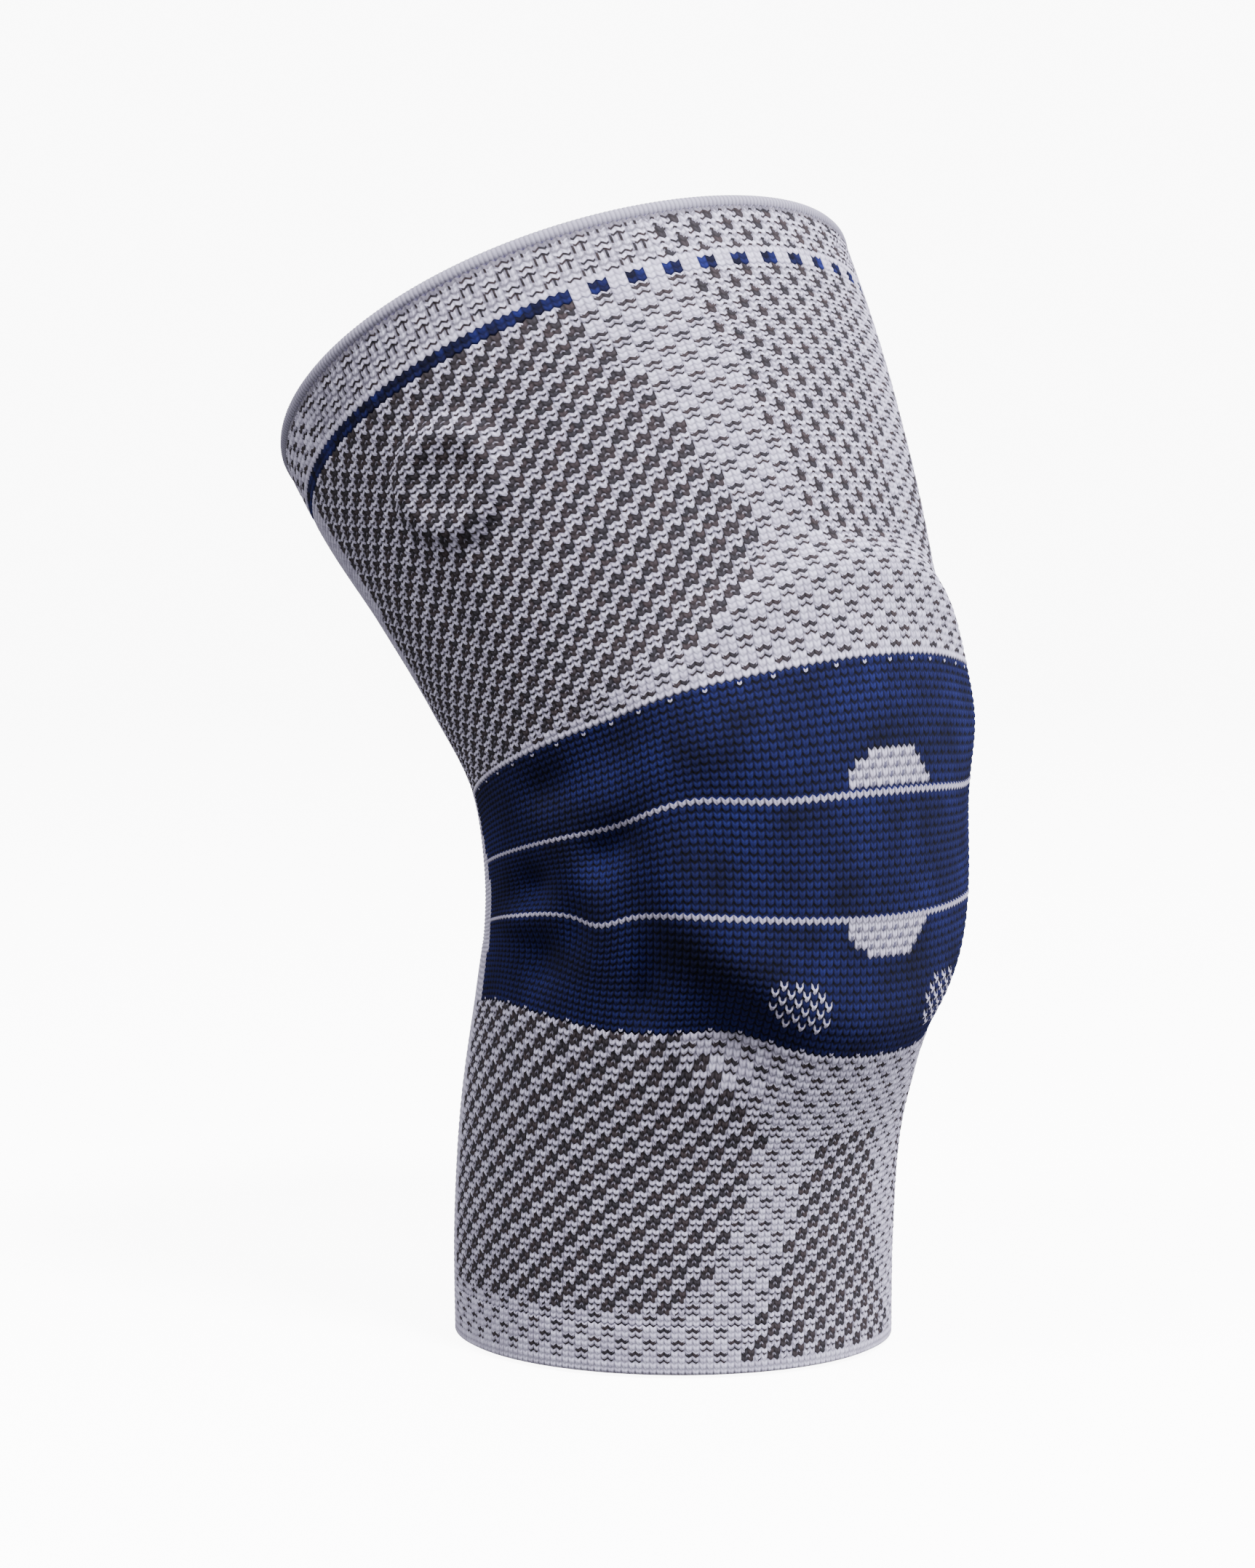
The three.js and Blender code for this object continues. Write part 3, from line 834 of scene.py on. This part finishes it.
HIDDEN_SEAMS = (-50, 139)
thigh_cells = zoned(BAND_TOP, THIGH_COURSES, [STAR, DASH, PIN_DOTS, FINE_STAR], thigh_zone)
thigh_cells["charcoal_and_shade"][: UP] = 0
right_half = between(THIGH_COURSES, *HIDDEN_SEAMS)
thigh_right = knit(
    "thigh_knit_right", BAND_TOP, CUFF_LINE, thigh_cells, right_half, [heather_knit, heather_inside]
)
thigh_left = knit(
    "thigh_knit_left", BAND_TOP, CUFF_LINE, thigh_cells, ~right_half, [heather_knit, heather_inside]
)

# %% [markdown]
# ## Cuff and top rim
#
# Above a thin navy line the cuff is knitted denser, with a basket look at the side and stars in front. The
# line breaks up into squares over the front. The rim is a rolled welt, a smooth bead crossed by fine ribs.

# %% The cuff
NAVY_LINE_COURSES = 2
LINE_BREAK_TURN = 46.5
BASKET_TURNS = (24, 104)
CUFF_ROWS = 10
SHADED_ROWS = 2
RIM_SHADE = 0.75
course_length = np.linalg.norm(frame_at(np.array([float(COURSES)]), np.zeros(1))[0])
CUFF_TOP = COURSES - WELT_HEIGHT / course_length


def cuff_zone(course, turn):
    side = np.abs(turn)
    zone = np.where(side < BASKET_TURNS[0], STAR_ZONE, DASH_ZONE)
    return np.where(side > BASKET_TURNS[1], PLAIN_ZONE, zone)


cuff_cells = zoned(CUFF_LINE, CUFF_ROWS, [FINE_STAR, BASKET, DASH], cuff_zone)
squares = (np.arange(WALES) // 2) % 2 == 0
line = (np.abs(wale_turns()) > LINE_BREAK_TURN) | squares
line = np.repeat(line, ACROSS)
cuff_cells["navy"][: NAVY_LINE_COURSES * UP] = line
cuff_cells["charcoal_and_shade"][: (NAVY_LINE_COURSES + 1) * UP] = 0
cuff_cells["charcoal_and_shade"][-SHADED_ROWS:] = RIM_SHADE
cuff = knit(
    "cuff_knit",
    CUFF_LINE,
    CUFF_TOP,
    cuff_cells,
    everywhere(CUFF_ROWS),
    [light_knit, light_inside],
)


# %% The rolled rim
RIM_SIDES = 12
RIBS_PER_WALE = 2
POINTS_PER_RIB = 3
RIB_DEPTH = 0.07


def welt_finish(name):
    finish = Finish(name)
    lift = finish.attribute("lift")
    place = finish.node("ShaderNodeTexCoord", output="Object")
    fibres = finish.noise(place, 3200.0, 3.0)
    clouds = finish.noise(place, 90.0)
    yarn = finish.blend(clouds, PALE_SHADE, PALE)
    # Painted shade: the grooves between the ribs are darker. The whole bead is also darker than the pale
    # yarn.
    colour = finish.scaled(yarn, (0.31 + 0.25 * lift) * (0.84 + 0.2 * fibres))
    bump = finish.bump(0.4, 0.15 * MM, fibres)
    return finish.surface(Base_Color=colour, Roughness=0.85, Normal=bump, Specular_IOR_Level=YARN_GLOSS)


def rolled_rim(name, material):
    """The bead along the top rim, with two ribs a wale."""
    shape = (RIM_SIDES, WALES * RIBS_PER_WALE * POINTS_PER_RIB)
    side, column = np.indices(shape)
    angle = (side + 0.5) * (2 * math.pi / RIM_SIDES)
    turn = column * TURN / shape[1] - TURN / 2
    lift = np.where(column % POINTS_PER_RIB == 0, 0.0, 1.0)
    swell = 1 - RIB_DEPTH * (1 - lift)
    below = WELT_HEIGHT / 2 * (1 + swell * np.cos(angle))
    depth = WALL / 2 - swell * WELT_THICKNESS / 2 * np.sin(angle)
    course = np.full(shape, float(COURSES))
    per_course, _, out = frame_at(course, turn)
    down = -per_course / np.linalg.norm(per_course, axis=-1, keepdims=True)
    points = outer_point(course, turn) - out * depth[..., None] + down * below[..., None]
    row = side.ravel()
    cell = column.ravel()
    low = row * shape[1]
    high = (row + 1) % RIM_SIDES * shape[1]
    after = (cell + 1) % shape[1]
    quads = np.stack([low + cell, low + after, high + after, high + cell], axis=1)
    across = np.stack([cell, cell + 1, cell + 1, cell], axis=1) / shape[1]
    up = np.stack([row, row, row + 1, row + 1], axis=1) / RIM_SIDES
    uv = np.stack([across, up], axis=2).reshape(-1, 2)
    smooth = np.ones(len(quads), bool)
    slots = np.zeros(len(quads), int)
    points = points.reshape(-1, 3)
    return make_mesh(name, points, [quads], {"lift": lift.ravel()}, {"OFBake": uv}, smooth, slots, [material])


welt = rolled_rim("rolled_welt", welt_finish("welt_knit"))
print("top rim:", len(welt.data.polygons), "faces")

# %% [markdown]
# ## Navy band
#
# Over the knee the sleeve is knitted in navy, with two white lines, two half-round marks where the
# kneecap's pad has its top and foot, and two dotted rounds below. They are counted in stitches: a mark is
# a few courses, each some wales wide, with small holes at every second wale. On the navy itself a painted
# highlight along the top of each course makes fine ribs, and painted shade in dashes set like bricks
# marks the holes between stitches.

# %% Marks in the navy band
UPPER_LINE = 83
LOWER_LINE = 69
MARK_CENTRE = 1
MARK_WIDTHS = (14, 13, 11, 8)
DOT_ROWS = ((-3, -1, 1), (-4, -2, 0, 2), (-3, -1, 1, 3), (-4, -2, 0, 2), (-3, -1, 1, 3), (-2, 0, 2))
DOT_TURN = 23
DOT_FIRST_COURSE = 56
DOT_MIRROR = 3
FADED = 0.35
HOLE = 0.75
EDGE_DOT = 0.2
HOLE_SHADE_LENGTH = 5


def stitch_cells(cells, course, wale):
    """The faces of one stitch, counted from the band's foot and from the kneecap."""
    row = (course - BAND_BOTTOM) * UP
    column = (wale + WALES // 2) * ACROSS
    return cells[row : row + UP, column : column + ACROSS]


def draw_half_round(navy, line, way):
    """A half-round mark that stands on a white line, or hangs from it."""
    for k, width in enumerate(MARK_WIDTHS):
        course = line + way * (k + 1)
        first = MARK_CENTRE - width // 2
        for wale in range(first, first + width):
            stitch = stitch_cells(navy, course, wale)
            stitch[:] = 0
            if (wale + k) % 2 == 0:
                stitch[:2, 1:3] = HOLE


def draw_dotted_round(navy, turn, way):
    """A round of small V stitches, set at every second wale and moved by one wale from course to course."""
    for k, wales in enumerate(DOT_ROWS):
        for wale in wales:
            stitch = stitch_cells(navy, DOT_FIRST_COURSE + k, round(turn / WALE_TURN) + way * wale)
            stitch[0, 1:3] = 0
            stitch[1, :] = 0
            stitch[2, ::3] = 0


def draw_edge_dots(navy):
    """Small pale dots in the outermost course of both edges."""
    for course in (BAND_BOTTOM, BAND_TOP - 1):
        for wale in range(-WALES // 2, WALES // 2, 4):
            stitch_cells(navy, course, wale)[1, 1:3] = EDGE_DOT


def brick_shade_and_tones():
    """Painted light on the navy: a painted highlight along the top row of every course, which looks like fine
    ribs, and painted shade in dashes a little longer than a wale, set like bricks. Each stitch's tone also
    varies at random.
    """
    row, column = np.indices((BAND_COURSES * UP, WALES * ACROSS))
    course = row // UP
    place = (column + course * ACROSS) % (2 * ACROSS)
    hole_shade = (row % UP == 0) & (place < HOLE_SHADE_LENGTH)
    lit = row % UP == 2
    tone_and_light = 0.5 + 0.35 * lit - 0.5 * hole_shade
    return np.clip(tone_and_light + 0.12 * over_faces(rng.random((BAND_COURSES, WALES))), 0, 1)


navy_faces = np.ones((BAND_COURSES * UP, WALES * ACROSS))
for line_course in (UPPER_LINE, LOWER_LINE):
    navy_faces[(line_course - BAND_BOTTOM) * UP] = 0
    navy_faces[(line_course - BAND_BOTTOM) * UP + 1] = FADED
draw_half_round(navy_faces, UPPER_LINE, 1)
draw_half_round(navy_faces, LOWER_LINE, -1)
draw_dotted_round(navy_faces, DOT_MIRROR + DOT_TURN, 1)
draw_dotted_round(navy_faces, DOT_MIRROR - DOT_TURN, -1)
draw_edge_dots(navy_faces)

# %% The band and the mesh panel behind it
BAND_ENDS = table(["course", "turn"], [band(0), 121], [band(0.511), 119], [band(1), 127])
band_rows = np.arange(BAND_BOTTOM, BAND_TOP) + 0.5
band_end = smooth_curve(BAND_ENDS["course"], BAND_ENDS["turn"], band_rows)
in_band = np.abs(wale_turns())[None, :] < band_end[:, None]
# The band's tone holds painted highlights and painted shade.
band_cells = {"navy": navy_faces, "charcoal_and_shade": np.zeros(navy_faces.shape), "tone_and_light": brick_shade_and_tones()}
kneecap_band = knit("navy_band", BAND_BOTTOM, BAND_TOP, band_cells, in_band, [navy_knit, navy_inside])

# The dark dots are painted shadows of the holes in the mesh.
MESH_DOTS = chart(
    ".-+-.-+-.-+-.-+-",
    "................",
    "................",
    "-+-.-+-.-+-.-+-.",
    "................",
    "................",
)
mesh_cells = {
    "charcoal_and_shade": tiled(MESH_DOTS, BAND_BOTTOM, BAND_COURSES),
    "navy": np.zeros(navy_faces.shape),
}
back_panel = knit("mesh_back", BAND_BOTTOM, BAND_TOP, mesh_cells, ~in_band, [mesh_knit, light_inside])

# %% [markdown]
# ## Calf and hem
#
# Below the band the stars come back at the sides and on the shin, between pale stripes with dashes. They
# end in a clean row above the hem, whose last courses are plain and whose edge is rounded, as a knitted
# edge is.

# %% The calf's zones
CALF_SIDE = table(["course", "turn"], [10, 46], [14, 39], [26, 30], [42, 26], [52, 52])
SHIN_SIDE = table(["course", "turn"], [2, 30], [10, 24], [20, 17], [28, 14], [39, 11])
SHIN_TOP = 41
SHIN_FOOT = 2
SIDE_FOOT = 10
CALF_REAR = 126


def calf_zone(course, turn):
    side = np.abs(turn)
    star = (side > border(CALF_SIDE, course)) & (side < CALF_REAR) & (course > SIDE_FOOT)
    star = star | ((side < border(SHIN_SIDE, course)) & (course < SHIN_TOP) & (course > SHIN_FOOT))
    zone = np.where(star, STAR_ZONE, DASH_ZONE)
    return np.where((side > CALF_REAR) | (course < SHIN_FOOT), PLAIN_ZONE, zone)


calf_cells = zoned(HEM_COURSES, CALF_COURSES, [STAR, DASH, PIN_DOTS], calf_zone)
calf_right_half = between(CALF_COURSES, *HIDDEN_SEAMS)
calf_right = knit(
    "calf_knit_right", HEM_COURSES, BAND_BOTTOM, calf_cells, calf_right_half, [heather_knit, heather_inside]
)
calf_left = knit(
    "calf_knit_left", HEM_COURSES, BAND_BOTTOM, calf_cells, ~calf_right_half, [heather_knit, heather_inside]
)
hem_cells = zoned(0, HEM_COURSES, [STAR, DASH, PLAIN], calf_zone)
hem = knit(
    "hem_knit",
    0,
    HEM_COURSES,
    hem_cells,
    everywhere(HEM_COURSES),
    [light_knit, light_inside],
    free_bottom=True,
)

# %% [markdown]
# ## Pads
#
# The pads are soft gel, held inside the knit, and show only through an opening. They are the fixed model's
# own shapes with rounder edges, so a copy of each is welded and subdivided.

# %% The two pads
GEL = linear(102, 118, 166)
GEL_SHADE = linear(84, 100, 150)


def gel_finish(name):
    finish = Finish(name)
    place = finish.node("ShaderNodeTexCoord", output="Object")
    grain = finish.noise(place, 900.0)
    clouds = finish.noise(place, 60.0)
    colour = finish.blend(clouds, GEL_SHADE, GEL)
    bump = finish.bump(0.15, 0.2 * MM, grain)
    return finish.surface(Base_Color=colour, Roughness=0.42 + 0.12 * grain, Normal=bump)


def soft_copy(node, name, material):
    """A copy of a fixed solid with soft edges."""
    piece = add_object(name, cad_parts[node].data.copy())
    piece.data.materials.clear()
    piece.data.materials.append(material)
    weld = piece.modifiers.new("weld", "WELD")
    weld.merge_threshold = 0.01 * MM
    soften = piece.modifiers.new("soften", "SUBSURF")
    soften.levels = 2
    soften.render_levels = 2
    bpy.context.view_layer.update()
    graph = bpy.context.evaluated_depsgraph_get()
    smooth_mesh = bpy.data.meshes.new_from_object(piece.evaluated_get(graph))
    piece.modifiers.clear()
    piece.data = smooth_mesh
    piece.data.shade_smooth()
    print(f"{name}: {len(piece.data.polygons)} faces")
    return piece


pad_gel = gel_finish("pad_gel")
kneecap_pad = soft_copy("kneecap_pad", "kneecap_gel_pad", pad_gel)
side_pad = soft_copy("side_pad", "side_gel_pad", pad_gel)

# %% [markdown]
# ## Joining the pieces to the model
#
# Each piece rides on the sleeve's body, and the fixed solid it stands for is hidden. The sleeve is
# stretched over the leg, so each piece of knit is a sheet that was narrower when it was knitted: about
# nine tenths of its girth as worn.

# %% Put each piece in place of its solid
RELAXED = 0.9


def flat_size(bottom, top, first, last):
    """The width and length of a piece of the tube, with its stretch round the leg let out."""
    turn, course = np.meshgrid(np.linspace(first, last, 91), np.linspace(bottom, top, 31))
    points = outer_point(course, turn)
    width = np.linalg.norm(np.diff(points, axis=1), axis=2).sum(axis=1).mean()
    length = np.linalg.norm(np.diff(points, axis=0), axis=2).sum(axis=0).mean()
    return float(width * RELAXED), float(length)


def sleeve_piece(piece, node, flat):
    """Rides on the sleeve's body, replaces its solid and says how large the knit is when it is flat."""
    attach(piece, "root")
    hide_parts(node)
    print(f"{piece.name}: {flat[0] * 100:.1f} by {flat[1] * 100:.1f} cm flat")


SEAM_RIGHT, SEAM_LEFT = HIDDEN_SEAMS
BAND_TURN = 121
whole = (-180, 180)
right = (SEAM_RIGHT, SEAM_LEFT)
left = (SEAM_LEFT, SEAM_RIGHT + TURN)
front = (-BAND_TURN, BAND_TURN)
rear = (BAND_TURN, TURN - BAND_TURN)
for piece, node, slot, bottom, top, turns, neighbour in (
    (thigh_right, "thigh_knit", "heather_knit", BAND_TOP, CUFF_LINE, right, side_pad),
    (thigh_left, "thigh_knit", "heather_knit", BAND_TOP, CUFF_LINE, left, kneecap_pad),
    (cuff, "thigh_cuff", "light_knit", CUFF_LINE, CUFF_TOP, whole, welt),
    (kneecap_band, "kneecap_band", "navy_knit", BAND_BOTTOM, BAND_TOP, front, kneecap_pad),
    (back_panel, "back_panel", "mesh_knit", BAND_BOTTOM, BAND_TOP, rear, kneecap_band),
    (calf_right, "calf_knit", "heather_knit", HEM_COURSES, BAND_BOTTOM, right, kneecap_pad),
    (calf_left, "calf_knit", "heather_knit", HEM_COURSES, BAND_BOTTOM, left, kneecap_pad),
    (hem, "hem", "light_knit", 0, HEM_COURSES, whole, calf_right),
):
    sleeve_piece(piece, node, flat_size(bottom, top, *turns))
for piece, node, slot in (
    (welt, "top_welt", "welt_knit"),
    (kneecap_pad, "kneecap_pad", "pad_gel"),
    (side_pad, "side_pad", "pad_gel"),
):
    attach(piece, "root")
    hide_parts(node)

# %% [markdown]
# ## Floor and light
#
# The photograph has a white ground and soft light from high in front. A round pale floor that curves up
# all round gives the same ground from every side. It glows, but the yarn neither takes its light nor
# reflects it, or the dark yarns would look washed out. Four large lamps give a key, two weaker lights and
# a rim.

# %% A round pale floor that curves up
FLOOR_LEVEL = -CALF_LENGTH - 0.6 * MM
FLOOR_RADIUS = 2.4
FLOOR_CURVE = 1.2
WALL_HEIGHT = 3.5
CURVE_STEPS = 12
FLOOR_SIDES = 64
FLOOR_GLOW = 9.0


def pale_floor():
    profile = [(0.0, 0.0), (FLOOR_RADIUS, 0.0)]
    for k in range(1, CURVE_STEPS + 1):
        angle = k / CURVE_STEPS * math.pi / 2
        profile.append((FLOOR_RADIUS + FLOOR_CURVE * math.sin(angle), FLOOR_CURVE * (1 - math.cos(angle))))
    profile.append((FLOOR_RADIUS + FLOOR_CURVE, WALL_HEIGHT))
    points = [(0.0, 0.0, FLOOR_LEVEL)]
    for radius, rise in profile[1:]:
        for k in range(FLOOR_SIDES):
            angle = k / FLOOR_SIDES * 2 * math.pi
            points.append((radius * math.cos(angle), radius * math.sin(angle), FLOOR_LEVEL + rise))
    faces = [(0, 1 + k, 1 + (k + 1) % FLOOR_SIDES) for k in range(FLOOR_SIDES)]
    for ring in range(len(profile) - 2):
        low = 1 + ring * FLOOR_SIDES
        high = low + FLOOR_SIDES
        for k in range(FLOOR_SIDES):
            after = (k + 1) % FLOOR_SIDES
            faces.append((low + k, high + k, high + after, low + after))
    mesh = bpy.data.meshes.new("floor")
    mesh.from_pydata(points, [], faces)
    mesh.shade_smooth()
    floor = add_object("floor", mesh)
    finish = Finish("pale_floor")
    material = finish.surface(
        Base_Color=linear(245, 245, 247),
        Roughness=0.8,
        Emission_Color=(1.0, 1.0, 1.0, 1.0),
        Emission_Strength=FLOOR_GLOW,
    )
    mesh.materials.append(material)
    floor.visible_diffuse = False
    floor.visible_glossy = False
    floor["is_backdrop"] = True
    return floor


floor = pale_floor()
print("floor at", round(FLOOR_LEVEL, 4))

# %% Lamps and the sky
SKY_STRENGTH = 0.53
LAMPS = [
    # Name, azimuth, elevation, distance, size and power.
    ("key", -12, 56, 1.9, 0.5, 102.0),
    ("front", 40, 12, 2.0, 1.2, 44.0),
    ("fill", -98, 56, 2.0, 0.6, 44.0),
    ("rim", 120, 35, 2.0, 1.0, 14.0),
]
for name, azimuth, elevation, distance, size, power in LAMPS:
    lamp_data = bpy.data.lights.new(name, "AREA")
    lamp_data.shape = "DISK"
    lamp_data.size = size
    lamp_data.energy = power
    lamp = add_object(name, lamp_data)
    lamp.location = sphere_point(azimuth, elevation, distance)
    lamp.rotation_euler = (-lamp.location).to_track_quat("-Z", "Y").to_euler()

world = bpy.data.worlds.new("studio")
world.use_nodes = True
world.node_tree.nodes["Background"].inputs["Color"].default_value = (1.0, 1.0, 1.0, 1.0)
world.node_tree.nodes["Background"].inputs["Strength"].default_value = SKY_STRENGTH
bpy.context.scene.world = world

# %% How far the pieces stand out of the fixed model's box
visual_box = [list(corner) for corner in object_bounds()]
for axis, low_cad, high_cad, low_seen, high_seen in zip("xyz", *cad_box, *visual_box):
    grown = (low_cad - low_seen) / MM, (high_seen - high_cad) / MM
    print(f"{axis}: stands {grown[0]:.1f} and {grown[1]:.1f} mm proud of the fixed model")
